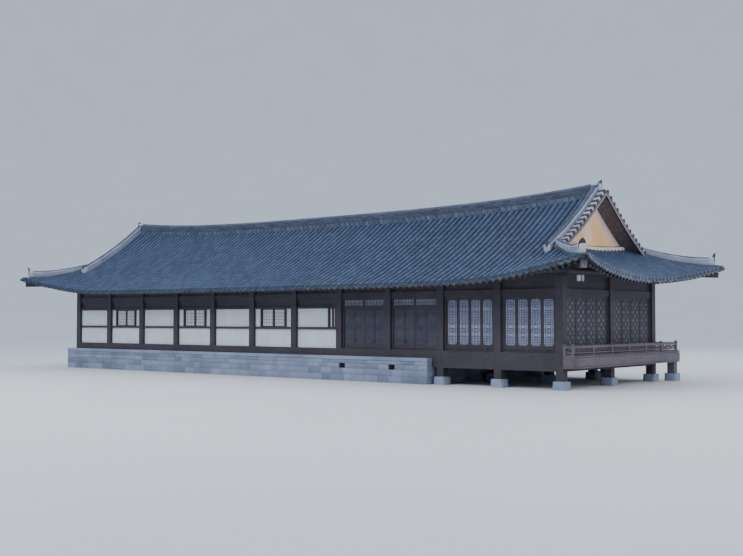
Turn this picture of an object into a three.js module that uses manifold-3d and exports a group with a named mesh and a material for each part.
// A hanok hall under a hip-and-gable tile roof, eleven bays long and two bays deep.
// Millimetres, +X along the front to the raised pavilion end, +Y to the back, +Z up.
// The origin is on the ground under the middle of the roof.
import * as THREE from 'three';
import { mergeVertices } from 'three/addons/utils/BufferGeometryUtils.js';
import Module from 'manifold-3d';

const wasm = await Module();
wasm.setup();

// Plan
const BAY = 2600;
const BAYS = 11;
const PAVILION_BAYS = 2;
const DOOR_BAYS = 2;
const HALF_LENGTH = (BAY * BAYS) / 2;
const HALF_DEPTH = 3560;
const COLUMN = 300;
const HALF_COLUMN = COLUMN / 2;
const GAP = 0.3;
// Joined parts run this far into each other
const LAP = 5;

// Heights above the ground
const BASE_TOP = 1000;
const FLOOR_TOP = 1250;
const SILL_TOP = 1300;
const DADO_TOP = 1470;
const MID_RAIL_BOTTOM = 2070;
const MID_RAIL_TOP = 2170;
const UPPER_RAIL_BOTTOM = 2950;
const UPPER_RAIL_TOP = 3040;
const LINTEL_BOTTOM = 3350;
const LINTEL_TOP = 3600;
const COLUMN_TOP = 4050;

// Stone base and the open frame under the pavilion
const BASE_PROUD = 450;
const BASE_SETBACK = 400;
const BASE_END = HALF_LENGTH - PAVILION_BAYS * BAY - BASE_SETBACK;
const VENT = { fromColumn: 300, width: 320, height: 200, depth: 300, z: 520 };
const BEAM_BOTTOM = 650;
const JOIST_BOTTOM = 850;
const FOOT_STONE = { width: 460, height: 300 };
const BALCONY_OUT = 580;
const BALCONY_REAR = 1280;
const BALCONY_FASCIA_BOTTOM = 760;
const BOARD_THICK = 60;
const RAIL_HEIGHT = 280;
const RAIL_POST = 90;

// Wall make-up, measured outward from the column line
const SILL_OUT = 150;
const RAIL_OUT = 100;
const PLASTER_OUT = 20;
const PLASTER_IN = -180;
const LEAF_OUT = 30;
const LEAF_THICK = 35;
const FIELD_BACK = 15;
const JAMB = 80;

// Hinged door leaves
const SWING_GAP = 5;
const TOP_GAP = 6;
const MEETING_GAP = 10;
const AXIS_OUT = LEAF_OUT + 14;
const KNUCKLE_RADIUS = 10;
const KNUCKLE_HEIGHT = 60;
const DOOR_SILL_TOP = SILL_TOP + 40;

// Roof, as distances out from the column line and heights of the tiled surface
const EAVE_OUT = 1750;
const CORNER_OUT = 2300;
const EAVE_Z = 3860;
const CORNER_RISE = 700;
const CORNER_REACH = HALF_DEPTH + CORNER_OUT;
const END_RISE = 150;
const RIDGE_RISE = 320;
const EAVE_PITCH = 0.41;
const PITCH_GROWTH = 0.000029;
const SLOPE_DEPTH = HALF_DEPTH + EAVE_OUT;
const ROOF_THICK = 200;
const VERGE_X = HALF_LENGTH - 50;
const RIDGE_END_X = HALF_LENGTH - 350;
const GABLE_X = HALF_LENGTH - 850;
const GABLE_THICK = 120;
const SLOPE_UNDER_GABLE = 20;
const BARGE_DEPTH = 60;
const BARGE_THICK = 55;

// Ridges of stacked tiles
const MAIN_RIDGE = { width: 340, height: 430 };
const FALL_RIDGE = { width: 280, height: 330 };
const HIP_RIDGE = { width: 260, height: 240, endHeight: 340 };
const END_TILE_LIFT = 90;
const HIP_TILE_LIFT = 170;

const COLOURS = {
  stone: 0xb9b8b2,
  timber: 0x3b2a22,
  fascia: 0x5a4234,
  plaster: 0xe9e6df,
  gable: 0xe6cfae,
  tile: 0x3d434d,
  paper: 0xb9b3c4,
  board: 0x4b372b,
  lantern: 0xf0b24a,
};

const house = new THREE.Group();

// Solids and meshes

function toSolid(geometry) {
  const bare = geometry.clone();
  bare.deleteAttribute('normal');
  bare.deleteAttribute('uv');
  const merged = mergeVertices(bare, 0.001);
  return new wasm.Manifold(new wasm.Mesh({
    numProp: 3,
    vertProperties: new Float32Array(merged.attributes.position.array),
    triVerts: new Uint32Array(merged.index.array),
  }));
}

function toGeometry(solid) {
  const mesh = solid.getMesh();
  const geometry = new THREE.BufferGeometry();
  geometry.setAttribute('position', new THREE.BufferAttribute(new Float32Array(mesh.vertProperties), 3));
  geometry.setIndex(new THREE.BufferAttribute(new Uint32Array(mesh.triVerts), 1));
  geometry.computeVertexNormals();
  return geometry;
}

function join(solids) {
  return solids.reduce((whole, next) => whole.add(next));
}

function cut(solid, tools) {
  return tools.reduce((left, tool) => left.subtract(tool), solid);
}

// The main body of a cut that also leaves loose slivers
function mainBody(solid) {
  return solid.decompose().reduce((best, next) => (next.volume() > best.volume() ? next : best));
}

function piece(name, solid, colour, roughness = 0.8) {
  const material = new THREE.MeshStandardMaterial({ color: colour, roughness, metalness: 0 });
  const mesh = new THREE.Mesh(toGeometry(solid), material);
  mesh.name = name;
  house.add(mesh);
  return solid;
}

// A box between two opposite corners
function box(x0, x1, y0, y1, z0, z1) {
  const geometry = new THREE.BoxGeometry(Math.abs(x1 - x0), Math.abs(y1 - y0), Math.abs(z1 - z0));
  geometry.translate((x0 + x1) / 2, (y0 + y1) / 2, (z0 + z1) / 2);
  return toSolid(geometry);
}

// Walls are laid out by their own coordinates: along the wall, and outward from the column line
const SIDES = {
  front: { at: (along, out) => [along, -HALF_DEPTH - out] },
  rear: { at: (along, out) => [along, HALF_DEPTH + out] },
  left: { at: (along, out) => [-HALF_LENGTH - out, along] },
  right: { at: (along, out) => [HALF_LENGTH + out, along] },
};

function wallBox(side, a0, a1, out0, out1, z0, z1) {
  const [xa, ya] = SIDES[side].at(a0, out0);
  const [xb, yb] = SIDES[side].at(a1, out1);
  return box(xa, xb, ya, yb, z0, z1);
}

// Column centres along the front, counted from the pavilion corner
function columnX(index) {
  return HALF_LENGTH - BAY * index;
}

// The tiled surface

// How far a place is lifted toward a corner, from 0 along the middle to 1 at the tip
function cornerLift(fromCorner) {
  const share = Math.max(0, 1 - fromCorner / CORNER_REACH);
  return share * share;
}

function eaveOut(fromCorner) {
  return EAVE_OUT + (CORNER_OUT - EAVE_OUT) * cornerLift(fromCorner);
}

// Height of the roof surface, from the distance to the corner along the eave, the distance in
// from the eave edge, and the distance from the middle of the hall
function surfaceZ(fromCorner, inward, fromMiddle) {
  const share = Math.min(1, inward / SLOPE_DEPTH);
  const ridgeShare = (HALF_LENGTH + CORNER_OUT - fromCorner) / RIDGE_END_X;
  const lift = CORNER_RISE * cornerLift(fromCorner) * (1 - share) ** 2;
  const ridgeLift = RIDGE_RISE * ridgeShare ** 3 * share ** 2;
  const endLift = END_RISE * Math.min(1, fromMiddle / HALF_LENGTH) ** 4;
  const pitch = EAVE_PITCH * inward + PITCH_GROWTH * inward * inward;
  return EAVE_Z + pitch + lift + ridgeLift + endLift;
}

// Each slope has its own coordinates: along its eave, and outward from its column line
const SLOPES = {
  front: { half: HALF_LENGTH, inner: -HALF_DEPTH, split: VERGE_X, side: 'front', flip: false },
  rear: { half: HALF_LENGTH, inner: -HALF_DEPTH, split: VERGE_X, side: 'rear', flip: true },
  right: {
    half: HALF_DEPTH,
    inner: GABLE_X - SLOPE_UNDER_GABLE - HALF_LENGTH,
    split: HALF_DEPTH + VERGE_X - HALF_LENGTH,
    side: 'right',
    flip: false,
  },
  left: {
    half: HALF_DEPTH,
    inner: GABLE_X - SLOPE_UNDER_GABLE - HALF_LENGTH,
    split: HALF_DEPTH + VERGE_X - HALF_LENGTH,
    side: 'left',
    flip: true,
  },
};

function slopeHeight(slope, along, out) {
  const fromCorner = slope.half + CORNER_OUT - Math.abs(along);
  const [x] = SIDES[slope.side].at(along, out);
  return surfaceZ(fromCorner, eaveOut(fromCorner) - out, Math.abs(x));
}

// A closed body between a lower and an upper grid of points
function gridSolid(lower, upper, flip) {
  const rows = lower.length;
  const columns = lower[0].length;
  const positions = [...lower.flat(), ...upper.flat()].flat();
  const layer = rows * columns;
  const index = [];
  const quad = (a, b, c, d) => {
    const faces = flip ? [a, c, b, a, d, c] : [a, b, c, a, c, d];
    index.push(...faces);
  };
  const at = (row, column, top) => row * columns + column + (top ? layer : 0);
  for (let row = 0; row < rows - 1; row += 1) {
    for (let column = 0; column < columns - 1; column += 1) {
      quad(at(row, column, 1), at(row + 1, column, 1), at(row + 1, column + 1, 1), at(row, column + 1, 1));
      quad(at(row, column, 0), at(row, column + 1, 0), at(row + 1, column + 1, 0), at(row + 1, column, 0));
    }
    quad(at(row, 0, 0), at(row + 1, 0, 0), at(row + 1, 0, 1), at(row, 0, 1));
    const last = columns - 1;
    quad(at(row + 1, last, 0), at(row, last, 0), at(row, last, 1), at(row + 1, last, 1));
  }
  for (let column = 0; column < columns - 1; column += 1) {
    const end = rows - 1;
    quad(at(0, column + 1, 0), at(0, column, 0), at(0, column, 1), at(0, column + 1, 1));
    quad(at(end, column, 0), at(end, column + 1, 0), at(end, column + 1, 1), at(end, column, 1));
  }
  const geometry = new THREE.BufferGeometry();
  geometry.setAttribute('position', new THREE.BufferAttribute(new Float32Array(positions), 3));
  geometry.setIndex(index);
  return toSolid(geometry);
}

const TIP_STEPS = 4;
const SLOPE_ROWS = 6;
const TIP_TRIM = 20;

function spread(start, end, steps) {
  return Array.from({ length: steps + 1 }, (unused, step) => start + ((end - start) * step) / steps);
}

// Places along an eave where the slope is measured, closer together where it curves up
function eaveStations(slope) {
  const straight = slope.half + CORNER_OUT - CORNER_REACH;
  if (straight <= 0) {
    return spread(-slope.split, slope.split, 8);
  }
  return [
    ...spread(-slope.split, -straight, 4),
    ...spread(-straight, straight, 8).slice(1, -1),
    ...spread(straight, slope.split, 4),
  ];
}

// One slope between two height offsets from the tiled surface; a fixed height may stand for either
function slopeSolid(key, { from, to, reach = 0, mitre = 0 }) {
  const slope = SLOPES[key];
  const at = SIDES[slope.side].at;
  const height = (rule, along, out) => (rule.fixed ?? slopeHeight(slope, along, out) + rule.offset);
  const strip = (stations, innerOf) => {
    const lower = [];
    const upper = [];
    stations.forEach((along) => {
      const outer = eaveOut(slope.half + CORNER_OUT - Math.abs(along));
      const inner = innerOf(along);
      const low = [];
      const high = [];
      for (let row = 0; row <= SLOPE_ROWS; row += 1) {
        const out = outer + ((inner - outer) * row) / SLOPE_ROWS;
        const place = at(along, out);
        low.push([...place, height(from, along, out)]);
        high.push([...place, height(to, along, out)]);
      }
      lower.push(low);
      upper.push(high);
    });
    return gridSolid(lower, upper, slope.flip);
  };
  const tip = slope.half + CORNER_OUT - TIP_TRIM;
  const middle = strip(eaveStations(slope), () => slope.inner - reach);
  const hip = (along) => Math.abs(along) - slope.half + mitre;
  const ends = [
    strip(spread(-tip, -slope.split, TIP_STEPS), hip),
    strip(spread(slope.split, tip, TIP_STEPS), hip),
  ];
  return join([middle, ...ends]);
}

const SKY = { fixed: 12000 };
const GROUND = { fixed: 0 };

// Everything above the underside of a slope, and everything below its tiled face
const above = {};
const below = {};
['front', 'rear', 'left', 'right'].forEach((key) => {
  above[key] = slopeSolid(key, { from: { offset: -ROOF_THICK - GAP }, to: SKY, reach: 1 });
  below[key] = slopeSolid(key, { from: GROUND, to: { offset: GAP }, reach: 1 });
});

// Ground storey: stone base, pavilion underframe, floors and balcony

function stoneBase() {
  const face = -HALF_DEPTH - BASE_PROUD;
  const body = box(-HALF_LENGTH - BASE_PROUD, BASE_END, face, -face, 0, BASE_TOP);
  const vents = [columnX(3), columnX(4)].map((columnAt) => {
    const x = columnAt + VENT.fromColumn;
    return box(x, x + VENT.width, face - LAP, face + VENT.depth, VENT.z, VENT.z + VENT.height);
  });
  piece('stone_base', cut(body, vents), COLOURS.stone, 0.95);
}

const FRAME_START = BASE_END + GAP;
const FRAME_END = HALF_LENGTH + HALF_COLUMN;

function post(x, y, top) {
  const half = FOOT_STONE.width / 2;
  return [
    box(x - half, x + half, y - half, y + half, 0, FOOT_STONE.height),
    box(x - HALF_COLUMN, x + HALF_COLUMN, y - HALF_COLUMN, y + HALF_COLUMN, FOOT_STONE.height - LAP, top),
  ];
}

const JOIST = { half: 100, tenon: 90, lapTop: BASE_TOP - 40, postTop: JOIST_BOTTOM + 40 };

function pavilionUnderframe() {
  const parts = [];
  const sides = [-HALF_DEPTH, HALF_DEPTH];
  sides.forEach((y) => {
    parts.push(box(FRAME_START, FRAME_END, y - HALF_COLUMN, y + HALF_COLUMN, BEAM_BOTTOM, BASE_TOP));
  });
  parts.push(box(
    HALF_LENGTH - HALF_COLUMN, FRAME_END, -HALF_DEPTH, HALF_DEPTH, BEAM_BOTTOM, BASE_TOP,
  ));
  const joistTop = FLOOR_TOP - BOARD_THICK - GAP;
  const inside = HALF_DEPTH + PLASTER_IN - GAP;
  const rows = [columnX(0), columnX(1), columnX(2)];
  rows.forEach((x) => {
    [-HALF_DEPTH, 0, HALF_DEPTH].forEach((y) => parts.push(...post(x, y, JOIST.postTop)));
  });
  rows.slice(1).forEach((x) => {
    parts.push(box(x - JOIST.half, x + JOIST.half, -inside, inside, JOIST_BOTTOM, joistTop));
    const tenonFrom = x - JOIST.tenon;
    const tenonTo = x + JOIST.tenon;
    parts.push(box(tenonFrom, tenonTo, -HALF_DEPTH, HALF_DEPTH, JOIST_BOTTOM + 20, JOIST.lapTop));
  });
  const middle = JOIST.half - 10;
  const beamEnd = FRAME_END - COLUMN - 30;
  parts.push(box(FRAME_START, beamEnd, -middle, middle, JOIST_BOTTOM + 10, joistTop - LAP));
  parts.push(box(columnX(1), HALF_LENGTH, -middle + 10, middle - 10, JOIST_BOTTOM + 30, JOIST.lapTop));
  piece('pavilion_underframe', join(parts), COLOURS.timber);
}

function floors() {
  const edge = HALF_DEPTH + PLASTER_IN - GAP;
  const hallStart = -HALF_LENGTH - PLASTER_IN + GAP;
  const hall = box(hallStart, BASE_END, -edge, edge, BASE_TOP + GAP, FLOOR_TOP);
  piece('hall_floor', hall, COLOURS.board, 0.6);
  const end = HALF_LENGTH - HALF_COLUMN - GAP;
  const boards = box(FRAME_START, end, -edge, edge, FLOOR_TOP - BOARD_THICK, FLOOR_TOP);
  piece('pavilion_floor', boards, COLOURS.board, 0.6);
}

const BALCONY = {
  inner: FRAME_END + GAP,
  outer: HALF_LENGTH + BALCONY_OUT,
  front: -HALF_DEPTH - HALF_COLUMN,
  rearInner: HALF_DEPTH + HALF_COLUMN + GAP,
  rear: HALF_DEPTH + BALCONY_REAR,
  start: FRAME_START,
};
const FASCIA = 70;
const RAILING = { inset: 15, postProud: 40, sidePosts: 6, rearPosts: 4 };
// Railing bars as height above the deck, bar height and half width
const RAIL_BARS = [[40, 45, 30], [235, 35, 25], [RAIL_HEIGHT - 55, 55, 40]];

function balconyDeck() {
  const b = BALCONY;
  const deckBottom = FLOOR_TOP - BOARD_THICK;
  const parts = [
    box(b.inner, b.outer, b.front, b.rear, deckBottom, FLOOR_TOP),
    box(b.start, b.outer, b.rearInner, b.rear, deckBottom, FLOOR_TOP),
    box(b.outer - FASCIA, b.outer, b.front, b.rear, BALCONY_FASCIA_BOTTOM, deckBottom + LAP),
    box(b.inner, b.outer, b.front, b.front + FASCIA, BALCONY_FASCIA_BOTTOM, deckBottom + LAP),
    box(b.start, b.outer, b.rear - FASCIA, b.rear, BALCONY_FASCIA_BOTTOM, deckBottom + LAP),
    box(b.inner, b.outer, b.rearInner, b.rearInner + FASCIA, BALCONY_FASCIA_BOTTOM, deckBottom + LAP),
  ];
  [b.start + HALF_COLUMN, columnX(1), b.outer - HALF_COLUMN].forEach((x) => {
    parts.push(...post(x, b.rear - HALF_COLUMN - FASCIA, deckBottom + LAP));
  });
  piece('balcony_deck', join(parts), COLOURS.fascia);
}

function balconyRailing() {
  const b = BALCONY;
  const bottom = FLOOR_TOP + GAP;
  const top = bottom + RAIL_HEIGHT;
  const half = RAIL_POST / 2;
  const lineX = b.outer - half - RAILING.inset;
  const lineY = b.rear - half - RAILING.inset;
  const endY = b.front + half;
  const endX = b.start + half;
  const parts = [];
  const postTop = top + RAILING.postProud;
  const postAt = (x, y) => {
    parts.push(box(x - half, x + half, y - half, y + half, bottom, postTop));
  };
  for (let step = 0; step <= RAILING.sidePosts; step += 1) {
    postAt(lineX, endY + ((lineY - endY) * step) / RAILING.sidePosts);
  }
  for (let step = 1; step <= RAILING.rearPosts; step += 1) {
    postAt(lineX + ((endX - lineX) * step) / RAILING.rearPosts, lineY);
  }
  postAt(b.inner + half, endY);
  postAt(endX, b.rearInner + half);
  RAIL_BARS.forEach(([rise, height, reach]) => {
    const z = bottom + rise;
    parts.push(box(lineX - reach, lineX + reach, endY, lineY, z, z + height));
    parts.push(box(endX, lineX, lineY - reach, lineY + reach, z, z + height));
    parts.push(box(b.inner + half, lineX, endY - reach, endY + reach, z, z + height));
    parts.push(box(endX - reach, endX + reach, b.rearInner + half, lineY, z, z + height));
  });
  piece('balcony_railing', join(parts), COLOURS.fascia);
}

// Timber frames of the walls

function column(side, along, bottom) {
  const low = along - HALF_COLUMN;
  return wallBox(side, low, low + COLUMN, -HALF_COLUMN, HALF_COLUMN, bottom, COLUMN_TOP);
}

function rails(side, a0, a1, bottom) {
  return [
    wallBox(side, a0, a1, -SILL_OUT, SILL_OUT, bottom, SILL_TOP),
    wallBox(side, a0, a1, -RAIL_OUT, RAIL_OUT, LINTEL_BOTTOM, LINTEL_TOP),
    wallBox(side, a0, a1, -LEAF_OUT, LEAF_OUT, LINTEL_TOP - LAP, COLUMN_TOP),
  ];
}

// What fills one bay of a plastered wall: rails, a board above them, and a window if it has one.
// The rails run a little into the columns, but never past the ends of the frame they belong to.
function bayTimber(side, a0, a1, kind, ends) {
  const low = Math.max(Math.min(a0, a1) + HALF_COLUMN - LAP, ends[0]);
  const high = Math.min(Math.max(a0, a1) - HALF_COLUMN + LAP, ends[1]);
  const parts = [
    wallBox(side, low, high, -RAIL_OUT, RAIL_OUT, UPPER_RAIL_BOTTOM, UPPER_RAIL_TOP),
    wallBox(side, low, high, -LEAF_OUT, LEAF_OUT, UPPER_RAIL_TOP - LAP, LINTEL_BOTTOM + LAP),
    wallBox(side, low, high, -RAIL_OUT, RAIL_OUT, MID_RAIL_BOTTOM, MID_RAIL_TOP),
  ];
  windowHoles(a0, a1, kind).forEach(([w0, w1, sill, head]) => {
    const z0 = sill - LAP;
    const z1 = head + LAP;
    const middle = (w0 + w1) / 2;
    parts.push(wallBox(side, w0 - JAMB, w0 + LAP, -RAIL_OUT, RAIL_OUT, z0, z1));
    parts.push(wallBox(side, w1 - LAP, w1 + JAMB, -RAIL_OUT, RAIL_OUT, z0, z1));
    parts.push(wallBox(side, w0, w1, -FIELD_BACK, SASH.field, z0, z1));
    parts.push(wallBox(side, middle - SASH.half, middle + SASH.half, -FIELD_BACK, SASH.stile, z0, z1));
  });
  return parts;
}

const WINDOW_HALF = 700;
const SMALL_WINDOW = { from: 100, width: 320 };
const SASH = { half: 45, field: 20, stile: 45 };

// Clear spans of a bay's windows as [start, end, bottom, top]
function windowHoles(a0, a1, kind) {
  const low = Math.min(a0, a1);
  const high = Math.max(a0, a1);
  const middle = (low + high) / 2;
  if (kind === 'window') {
    return [[middle - WINDOW_HALF, middle + WINDOW_HALF, MID_RAIL_TOP, UPPER_RAIL_BOTTOM]];
  }
  if (kind === 'small') {
    const end = high - HALF_COLUMN - SMALL_WINDOW.from;
    return [[end - SMALL_WINDOW.width, end, MID_RAIL_TOP, UPPER_RAIL_BOTTOM]];
  }
  return [];
}

const FRONT_ROOMS = ['small', 'window', 'plain', 'window', 'plain', 'window', 'plain'];
const REAR_ROOMS = ['plain', 'window', 'plain', 'window', 'plain', 'window', 'plain', 'window', 'plain'];
const LEFT_ROOMS = ['plain', 'window'];

function frontPavilionFrame() {
  const start = columnX(2) + HALF_COLUMN + GAP;
  const parts = [column('front', columnX(0), BASE_TOP + GAP), column('front', columnX(1), BASE_TOP + GAP)];
  parts.push(...rails('front', start, columnX(0), BASE_TOP + GAP));
  piece('front_frame_pavilion', join(parts), COLOURS.timber);
}

function frontDoorFrame() {
  const parts = [2, 3, 4].map((index) => column('front', columnX(index), BASE_TOP + GAP));
  parts.push(...rails('front', columnX(4), columnX(2), BASE_TOP + GAP));
  piece('front_frame_doors', join(parts), COLOURS.timber);
}

function frontRoomFrame() {
  const parts = [];
  for (let index = 5; index <= BAYS; index += 1) {
    parts.push(column('front', columnX(index), BASE_TOP + GAP));
  }
  const end = columnX(4) - HALF_COLUMN - GAP;
  parts.push(...rails('front', columnX(BAYS), end, BASE_TOP + GAP));
  FRONT_ROOMS.forEach((kind, step) => {
    const bay = step + PAVILION_BAYS + DOOR_BAYS;
    parts.push(...bayTimber('front', columnX(bay), columnX(bay + 1), kind, [-HALF_LENGTH, end]));
  });
  piece('front_frame_rooms', join(parts), COLOURS.timber);
}

// A row of leaves: how far the frame and the leaves stand out, and the widths of their members
const ROW = { frameOut: 60, leafOut: 40, fieldOut: 10, foot: 40, rail: 60, stile: 45, play: 2 };

// The four leaves of one pavilion bay, with the dado board under them
function leafRow(side, a0, a1, panels) {
  const low = Math.min(a0, a1) + HALF_COLUMN + GAP;
  const high = Math.max(a0, a1) - HALF_COLUMN - GAP;
  const bottom = SILL_TOP + GAP;
  const top = LINTEL_BOTTOM - GAP;
  const member = (s0, s1, out, z0, z1) => wallBox(side, s0, s1, -FIELD_BACK, out, z0, z1);
  const parts = [
    member(low, high, ROW.fieldOut, bottom, top),
    member(low, high, ROW.frameOut, bottom, bottom + ROW.foot),
    member(low, high, ROW.frameOut, DADO_TOP - ROW.rail, DADO_TOP),
    member(low, high, ROW.frameOut, top - ROW.rail, top),
    member(low, low + JAMB, ROW.frameOut, bottom, top),
    member(high - JAMB, high, ROW.frameOut, bottom, top),
  ];
  const leafBottom = DADO_TOP - LAP;
  const leafTop = top - ROW.rail + LAP;
  const width = (high - low - 2 * JAMB) / panels;
  for (let leaf = 0; leaf < panels; leaf += 1) {
    const start = low + JAMB + leaf * width + ROW.play;
    const end = start + width - 2 * ROW.play;
    parts.push(member(start, start + ROW.stile, ROW.leafOut, leafBottom, leafTop));
    parts.push(member(end - ROW.stile, end, ROW.leafOut, leafBottom, leafTop));
    parts.push(member(start, end, ROW.leafOut, leafBottom, DADO_TOP + ROW.rail));
    parts.push(member(start, end, ROW.leafOut, leafTop - ROW.rail, leafTop));
  }
  return join(parts);
}

function pavilionWindows() {
  for (let bay = 0; bay < PAVILION_BAYS; bay += 1) {
    const row = leafRow('front', columnX(bay), columnX(bay + 1), 4);
    piece(`front_window_bay_${bay + 1}`, row, COLOURS.paper);
  }
  piece('side_lattice_front', leafRow('right', -HALF_DEPTH, 0, 4), COLOURS.timber);
  piece('side_lattice_rear', leafRow('right', 0, HALF_DEPTH, 4), COLOURS.timber);
}

function rearFrame() {
  const parts = [];
  for (let index = 0; index <= BAYS; index += 1) {
    parts.push(column('rear', columnX(index), BASE_TOP + GAP));
  }
  parts.push(...rails('rear', columnX(BAYS), columnX(0), BASE_TOP + GAP));
  REAR_ROOMS.forEach((kind, step) => {
    const bay = step + PAVILION_BAYS;
    parts.push(...bayTimber('rear', columnX(bay), columnX(bay + 1), kind, [-HALF_LENGTH, HALF_LENGTH]));
  });
  piece('rear_frame', join(parts), COLOURS.timber);
  for (let bay = 0; bay < PAVILION_BAYS; bay += 1) {
    piece(`rear_window_bay_${bay + 1}`, leafRow('rear', columnX(bay), columnX(bay + 1), 4), COLOURS.paper);
  }
}

function endFrames() {
  const inner = HALF_DEPTH - HALF_COLUMN - GAP;
  const left = [column('left', 0, BASE_TOP + GAP), ...rails('left', -inner, inner, BASE_TOP + GAP)];
  const bays = [[-HALF_DEPTH, 0], [0, HALF_DEPTH]];
  bays.forEach(([a0, a1], index) => {
    left.push(...bayTimber('left', a0, a1, LEFT_ROOMS[index], [-inner, inner]));
  });
  piece('left_frame', join(left), COLOURS.timber);
  const right = [column('right', 0, BASE_TOP + GAP), ...rails('right', -inner, inner, BASE_TOP + GAP)];
  piece('right_frame', join(right), COLOURS.timber);
}

// Plaster between the timbers, one sheet to a wall, pocketed round each column and rail
function plasterSheet(side, a0, a1, columns, bays) {
  const sheet = wallBox(side, a0, a1, PLASTER_IN, PLASTER_OUT, BASE_TOP + GAP, COLUMN_TOP);
  const pocket = (out, z0, z1) => wallBox(side, a0 - LAP, a1 + LAP, -out - GAP, out, z0, z1);
  const tools = columns.map((along) => wallBox(
    side, along - HALF_COLUMN - GAP, along + HALF_COLUMN + GAP,
    -HALF_COLUMN - GAP, HALF_COLUMN, BASE_TOP, COLUMN_TOP + LAP,
  ));
  tools.push(pocket(SILL_OUT, BASE_TOP, SILL_TOP + GAP));
  tools.push(pocket(RAIL_OUT, MID_RAIL_BOTTOM - GAP, MID_RAIL_TOP + GAP));
  tools.push(pocket(RAIL_OUT, UPPER_RAIL_BOTTOM - GAP, UPPER_RAIL_TOP + GAP));
  tools.push(pocket(LEAF_OUT, UPPER_RAIL_TOP, LINTEL_BOTTOM));
  tools.push(pocket(RAIL_OUT, LINTEL_BOTTOM - GAP, LINTEL_TOP + GAP));
  tools.push(pocket(LEAF_OUT, LINTEL_TOP, COLUMN_TOP + LAP));
  bays.forEach(([b0, b1, kind]) => {
    windowHoles(b0, b1, kind).forEach(([w0, w1, z0, z1]) => {
      const low = w0 - JAMB - GAP;
      const high = w1 + JAMB + GAP;
      tools.push(wallBox(side, low, high, PLASTER_IN - LAP, HALF_COLUMN, z0, z1));
    });
  });
  return cut(sheet, tools);
}

function plasterWalls() {
  const frontColumns = [];
  for (let index = 4; index <= BAYS; index += 1) {
    frontColumns.push(columnX(index));
  }
  const frontBays = FRONT_ROOMS.map((kind, step) => {
    const bay = step + PAVILION_BAYS + DOOR_BAYS;
    return [columnX(bay), columnX(bay + 1), kind];
  });
  const corner = HALF_LENGTH - HALF_COLUMN - GAP;
  const frontEnd = columnX(4) - HALF_COLUMN - GAP;
  const front = plasterSheet('front', -corner, frontEnd, frontColumns, frontBays);
  piece('front_wall', front, COLOURS.plaster, 0.9);
  const rearColumns = [];
  for (let index = 2; index <= BAYS; index += 1) {
    rearColumns.push(columnX(index));
  }
  const rearBays = REAR_ROOMS.map((kind, step) => {
    const bay = step + PAVILION_BAYS;
    return [columnX(bay), columnX(bay + 1), kind];
  });
  const rearEnd = columnX(2) - HALF_COLUMN - GAP;
  const rear = plasterSheet('rear', -corner, rearEnd, rearColumns, rearBays);
  piece('rear_wall', rear, COLOURS.plaster, 0.9);
  const depth = HALF_DEPTH + PLASTER_IN - GAP;
  const leftBays = [[-HALF_DEPTH, 0, LEFT_ROOMS[0]], [0, HALF_DEPTH, LEFT_ROOMS[1]]];
  piece('left_wall', plasterSheet('left', -depth, depth, [0], leftBays), COLOURS.plaster, 0.9);
}

// Four-leaf doors: the outer leaves stand fast in the case, the inner pair swings out

function caseSpan(bay) {
  return {
    low: columnX(bay + 1) + HALF_COLUMN + GAP,
    high: columnX(bay) - HALF_COLUMN - GAP,
  };
}

const DOOR_LEAF = { stile: 70, foot: 180, head: 90, recess: 15 };

// A door leaf: stiles and rails round a thinner field
function leafParts(low, high, bottom, top) {
  const front = LEAF_OUT;
  const back = LEAF_OUT - LEAF_THICK;
  return [
    wallBox('front', low, high, back, front - DOOR_LEAF.recess, bottom, top),
    wallBox('front', low, low + DOOR_LEAF.stile, back, front, bottom, top),
    wallBox('front', high - DOOR_LEAF.stile, high, back, front, bottom, top),
    wallBox('front', low, high, back, front, bottom, bottom + DOOR_LEAF.foot),
    wallBox('front', low, high, back, front, top - DOOR_LEAF.head, top),
  ];
}

function upright(x, z0, z1) {
  const geometry = new THREE.CylinderGeometry(KNUCKLE_RADIUS, KNUCKLE_RADIUS, z1 - z0, 8);
  geometry.rotateX(Math.PI / 2);
  geometry.translate(x, -HALF_DEPTH - AXIS_OUT, (z0 + z1) / 2);
  return toSolid(geometry);
}

const CASE = { back: -40, front: 60, head: 70, transomField: 10, halfPost: 30 };
const HINGE = { low: DOOR_SILL_TOP + 260, high: UPPER_RAIL_BOTTOM - 320, seat: 24, seatReach: 45 };
const STRAP = { start: 20, reach: 60, back: AXIS_OUT - 8, front: AXIS_OUT + 3 };

// The seat on the case that carries a hinge knuckle
function hingeSeat(axis, way, z) {
  const far = axis + way * HINGE.seatReach;
  const bottom = z - HINGE.seat;
  return [
    wallBox('front', axis, far, LEAF_OUT - LAP, AXIS_OUT + LAP, bottom, z - GAP),
    upright(axis, bottom, z - GAP),
  ];
}

// The knuckle and strap of a hinge on a swinging leaf
function hingeStrap(axis, way, z) {
  const top = z + KNUCKLE_HEIGHT;
  const near = axis + way * STRAP.start;
  const far = axis + way * STRAP.reach;
  return [
    upright(axis, z, top),
    wallBox('front', axis, far, STRAP.back, STRAP.front, z, top),
    wallBox('front', near, far, LEAF_OUT - LAP, AXIS_OUT, z, top),
  ];
}

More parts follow.
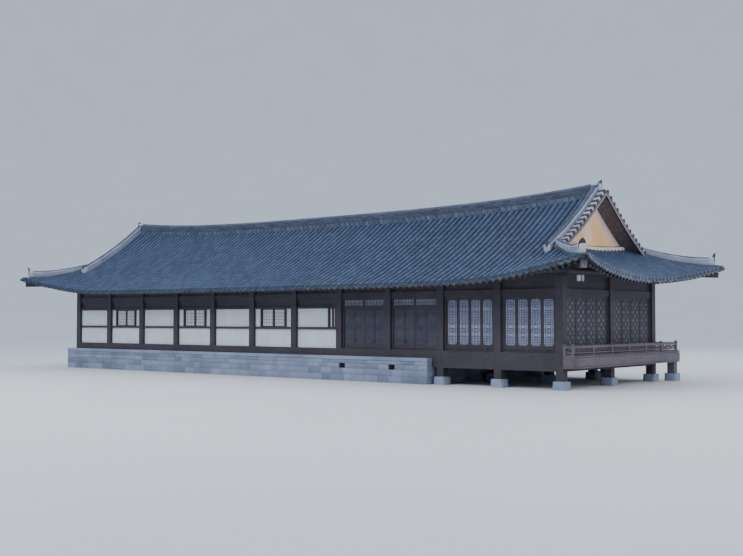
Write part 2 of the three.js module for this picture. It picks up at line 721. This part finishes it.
function doorBay(bay) {
  const { low, high } = caseSpan(bay);
  const bottom = SILL_TOP + GAP;
  const top = LINTEL_BOTTOM - GAP;
  const middle = (low + high) / 2;
  const leafWidth = (high - low - 2 * JAMB) / 4;
  const openLow = low + JAMB + leafWidth;
  const openHigh = high - JAMB - leafWidth;
  const fixedBottom = DOOR_SILL_TOP - LAP;
  const fixedTop = UPPER_RAIL_BOTTOM + LAP;
  const member = (x0, x1, z0, z1) => wallBox('front', x0, x1, CASE.back, CASE.front, z0, z1);
  const parts = [
    member(low, low + JAMB, bottom, top),
    member(high - JAMB, high, bottom, top),
    member(low, high, bottom, DOOR_SILL_TOP),
    member(low, high, UPPER_RAIL_BOTTOM, UPPER_RAIL_TOP),
    member(low, high, top - CASE.head, top),
    member(middle - CASE.halfPost, middle + CASE.halfPost, UPPER_RAIL_TOP - LAP, top),
    wallBox('front', low, high, -FIELD_BACK, CASE.transomField, UPPER_RAIL_TOP - LAP, top),
    ...leafParts(low + JAMB - LAP, openLow, fixedBottom, fixedTop),
    ...leafParts(openHigh, high - JAMB + LAP, fixedBottom, fixedTop),
  ];
  const number = bay + 1;
  const hinges = [HINGE.low, HINGE.high];
  const width = (openHigh - openLow - 2 * SWING_GAP - MEETING_GAP) / 2;
  [['left', openLow, 1], ['right', openHigh, -1]].forEach(([hand, axis, way]) => {
    hinges.forEach((z) => parts.push(...hingeSeat(axis, -way, z)));
    const near = axis + way * SWING_GAP;
    const far = near + way * width;
    const leafBottom = DOOR_SILL_TOP + TOP_GAP;
    const leafTop = UPPER_RAIL_BOTTOM - TOP_GAP;
    const leaf = leafParts(Math.min(near, far), Math.max(near, far), leafBottom, leafTop);
    hinges.forEach((z) => leaf.push(...hingeStrap(axis, way, z)));
    piece(`door_leaf_bay_${number}_${hand}`, join(leaf), COLOURS.timber);
  });
  piece(`door_case_bay_${number}`, join(parts), COLOURS.timber);
}

// Roof: plates, slopes, hip rafters, gables and ridges

const PURLIN_RADIUS = 130;
const PLATE_BLOCK = 80;
const PLATE = { half: 80, end: 280, fillHalf: 60, fillEnd: 80, fillHeight: 1200 };

function purlin(side, a0, a1, z) {
  const geometry = new THREE.CylinderGeometry(PURLIN_RADIUS, PURLIN_RADIUS, a1 - a0, 12);
  const along = (a0 + a1) / 2;
  const [x, y] = SIDES[side].at(along, 0);
  if (side === 'left' || side === 'right') {
    geometry.translate(x, y, z);
    return toSolid(geometry);
  }
  geometry.rotateZ(Math.PI / 2);
  geometry.translate(x, y, z);
  return toSolid(geometry);
}

// Points on the hip line, by their distance out from the corner column on both axes
function hipPoint(signX, signY, out) {
  const fromCorner = CORNER_OUT - out;
  const z = surfaceZ(fromCorner, eaveOut(fromCorner) - out, HALF_LENGTH + out);
  return new THREE.Vector3(signX * (HALF_LENGTH + out), signY * (HALF_DEPTH + out), z);
}

// An upright strip of the given width that follows a line of points, and may grow to a last height
function band(points, width, under, over, last = over) {
  const lower = [];
  const upper = [];
  points.forEach((point, index) => {
    const high = over + ((last - over) * index) / (points.length - 1);
    const before = points[Math.max(0, index - 1)];
    const after = points[Math.min(points.length - 1, index + 1)];
    const way = new THREE.Vector3().subVectors(after, before).setZ(0).normalize();
    const across = new THREE.Vector3(-way.y, way.x, 0).multiplyScalar(width / 2);
    const a = point.clone().add(across);
    const b = point.clone().sub(across);
    lower.push([[a.x, a.y, point.z - under], [b.x, b.y, point.z - under]]);
    upper.push([[a.x, a.y, point.z + high], [b.x, b.y, point.z + high]]);
  });
  return gridSolid(lower, upper, true);
}

function hipLine(signX, signY, from, to, steps) {
  return spread(from, to, steps).map((out) => hipPoint(signX, signY, out));
}

const HIP_RAFTER = { width: 220, depth: 300, from: -500, to: 2000, above: 50 };

function hipRafterBand(signX, signY, grow) {
  const points = hipLine(signX, signY, HIP_RAFTER.from - grow, HIP_RAFTER.to + grow, 5);
  return band(points, HIP_RAFTER.width + 2 * grow, ROOF_THICK + HIP_RAFTER.depth + grow, HIP_RAFTER.above);
}

const CORNERS = [
  ['front_right', 1, -1, 'front', 'right'],
  ['rear_right', 1, 1, 'rear', 'right'],
  ['front_left', -1, -1, 'front', 'left'],
  ['rear_left', -1, 1, 'rear', 'left'],
];

function wallPlates() {
  const end = HALF_LENGTH + PLATE.end;
  const fillEnd = HALF_LENGTH + PLATE.fillEnd;
  const inner = HALF_DEPTH - PURLIN_RADIUS - GAP;
  const plateTop = COLUMN_TOP + PLATE_BLOCK + 20;
  const purlinZ = COLUMN_TOP + PLATE_BLOCK + PURLIN_RADIUS - 10;
  const rafterHoles = CORNERS.map(([, sx, sy]) => hipRafterBand(sx, sy, GAP));
  const skies = [above.front, above.rear, above.left, above.right];
  ['front', 'rear', 'left', 'right'].forEach((side) => {
    const long = side === 'front' || side === 'rear';
    const [a0, a1] = long ? [-end, end] : [-inner, inner];
    const [w0, w1] = long ? [-fillEnd, fillEnd] : [-inner, inner];
    const parts = [
      wallBox(side, a0, a1, -PLATE.half, PLATE.half, COLUMN_TOP + GAP, plateTop),
      purlin(side, a0, a1, purlinZ),
      wallBox(side, w0, w1, -PLATE.fillHalf, PLATE.fillHalf, purlinZ, purlinZ + PLATE.fillHeight),
    ];
    const whole = cut(join(parts), [...skies, ...rafterHoles]);
    piece(`wall_plate_${side}`, mainBody(whole), COLOURS.timber);
  });
}

function roofSlopes() {
  ['front', 'rear'].forEach((key) => {
    const slab = slopeSolid(key, { from: { offset: -ROOF_THICK }, to: { offset: 0 }, reach: -0.5 });
    piece(`roof_${key}`, slab, COLOURS.tile, 0.7);
  });
  ['left', 'right'].forEach((key) => {
    const slab = slopeSolid(key, { from: { offset: -ROOF_THICK }, to: { offset: 0 }, mitre: 1 });
    piece(`roof_${key}`, mainBody(cut(slab, [above.front, above.rear])), COLOURS.tile, 0.7);
  });
}

function hipRafters() {
  CORNERS.forEach(([name, sx, sy, along, across]) => {
    const body = cut(hipRafterBand(sx, sy, 0), [above[along], above[across]]);
    piece(`hip_rafter_${name}`, mainBody(body), COLOURS.timber);
  });
}

const GABLE_BOTTOM = 4600;
const GABLE_TOP = 8000;
const BARGE_INSET = 5;

// An upright board across the roof, between two places along it
function gableBoard(sign, from, to) {
  const [x0, x1] = [sign * from, sign * to].sort((a, b) => a - b);
  return box(x0, x1, -HALF_DEPTH, HALF_DEPTH, GABLE_BOTTOM, GABLE_TOP);
}

function gables() {
  const boardBottom = { offset: -ROOF_THICK - BARGE_DEPTH };
  const under = ['front', 'rear'].map((key) => slopeSolid(key, { from: GROUND, to: boardBottom, reach: 1 }));
  [['right', 1], ['left', -1]].forEach(([side, sign]) => {
    const tools = [above.front, above.rear, below[side]];
    const wall = gableBoard(sign, GABLE_X, GABLE_X + GABLE_THICK);
    piece(`gable_wall_${side}`, mainBody(cut(wall, tools)), COLOURS.gable, 0.9);
    const board = gableBoard(sign, VERGE_X - BARGE_THICK - BARGE_INSET, VERGE_X - BARGE_INSET);
    piece(`bargeboard_${side}`, mainBody(cut(board, [...tools, ...under])), COLOURS.timber);
  });
}

function ridgeZ(x) {
  return surfaceZ(HALF_LENGTH + CORNER_OUT - Math.abs(x), SLOPE_DEPTH, Math.abs(x));
}

const RIDGE_END = { back: 300, front: 110, narrower: 20, drop: 330 };
const FALL_LINE = { fromEnd: 400, top: 40 - HALF_DEPTH, foot: 190, sunk: 150 };
const FALL_END = { back: 200, front: 60, narrower: 15, lift: 70 };
const HIP_LINE = { from: -250, to: 1900, tipFrom: 1800, tipTo: 1960, sunk: 150, tipNarrower: 30 };
const RIDGE_SUNK = 220;
const RIDGE_STEPS = 16;

function mainRidge() {
  const line = spread(-RIDGE_END_X, RIDGE_END_X, RIDGE_STEPS);
  const points = line.map((x) => new THREE.Vector3(x, 0, ridgeZ(x)));
  const parts = [band(points, MAIN_RIDGE.width, RIDGE_SUNK, MAIN_RIDGE.height)];
  const half = MAIN_RIDGE.width / 2 - RIDGE_END.narrower;
  const top = ridgeZ(RIDGE_END_X) + MAIN_RIDGE.height;
  [-1, 1].forEach((sign) => {
    const inner = sign * (RIDGE_END_X - RIDGE_END.back);
    const outer = sign * (RIDGE_END_X + RIDGE_END.front);
    parts.push(box(inner, outer, -half, half, top - RIDGE_END.drop, top + END_TILE_LIFT));
  });
  return parts;
}

// The ridge that falls from the main ridge along the verge
function fallingRidge(sx, sy, key) {
  const x = sx * (VERGE_X - FALL_LINE.fromEnd);
  const points = spread(FALL_LINE.top, FALL_LINE.foot, 6).map((out) => {
    return new THREE.Vector3(x, sy * (HALF_DEPTH + out), slopeHeight(SLOPES[key], x, out));
  });
  const foot = points[points.length - 1];
  const half = FALL_RIDGE.width / 2 - FALL_END.narrower;
  const top = foot.z + FALL_RIDGE.height + FALL_END.lift;
  return [
    band(points, FALL_RIDGE.width, FALL_LINE.sunk, FALL_RIDGE.height),
    box(foot.x - half, foot.x + half, foot.y - sy * FALL_END.back, foot.y + sy * FALL_END.front, foot.z, top),
  ];
}

function hipRidge(sx, sy) {
  const line = hipLine(sx, sy, HIP_LINE.from, HIP_LINE.to, 5);
  const tip = hipLine(sx, sy, HIP_LINE.tipFrom, HIP_LINE.tipTo, 1);
  const top = HIP_RIDGE.endHeight + HIP_TILE_LIFT;
  return [
    band(line, HIP_RIDGE.width, HIP_LINE.sunk, HIP_RIDGE.height, HIP_RIDGE.endHeight),
    band(tip, HIP_RIDGE.width - HIP_LINE.tipNarrower, 60, top - 60, top),
  ];
}

function ridges() {
  const parts = mainRidge();
  CORNERS.forEach(([, sx, sy, key]) => {
    parts.push(...fallingRidge(sx, sy, key), ...hipRidge(sx, sy));
  });
  const slopes = [below.front, below.rear, below.left, below.right];
  piece('roof_ridges', cut(join(parts), slopes), COLOURS.tile, 0.7);
}

const LANTERN = { out: 1720, drop: 200, half: 100, height: 250, capHalf: 125, capRise: 25, rodHalf: 12 };

function lantern() {
  const at = hipPoint(1, -1, LANTERN.out);
  const rafterUnder = at.z - ROOF_THICK - HIP_RAFTER.depth - GAP;
  const top = rafterUnder - LANTERN.drop;
  const square = (half, z0, z1) => box(at.x - half, at.x + half, at.y - half, at.y + half, z0, z1);
  const parts = [
    square(LANTERN.half, top - LANTERN.height, top),
    square(LANTERN.capHalf, top - LAP, top + LANTERN.capRise),
    square(LANTERN.rodHalf, top, rafterUnder + 60),
  ];
  const hung = mainBody(cut(join(parts), [hipRafterBand(1, -1, GAP)]));
  piece('eave_lantern', hung, COLOURS.lantern, 0.5);
}

stoneBase();
pavilionUnderframe();
floors();
balconyDeck();
balconyRailing();
frontPavilionFrame();
frontDoorFrame();
frontRoomFrame();
rearFrame();
endFrames();
pavilionWindows();
plasterWalls();
for (let bay = PAVILION_BAYS; bay < PAVILION_BAYS + DOOR_BAYS; bay += 1) {
  doorBay(bay);
}
wallPlates();
roofSlopes();
hipRafters();
gables();
ridges();
lantern();

export default house;
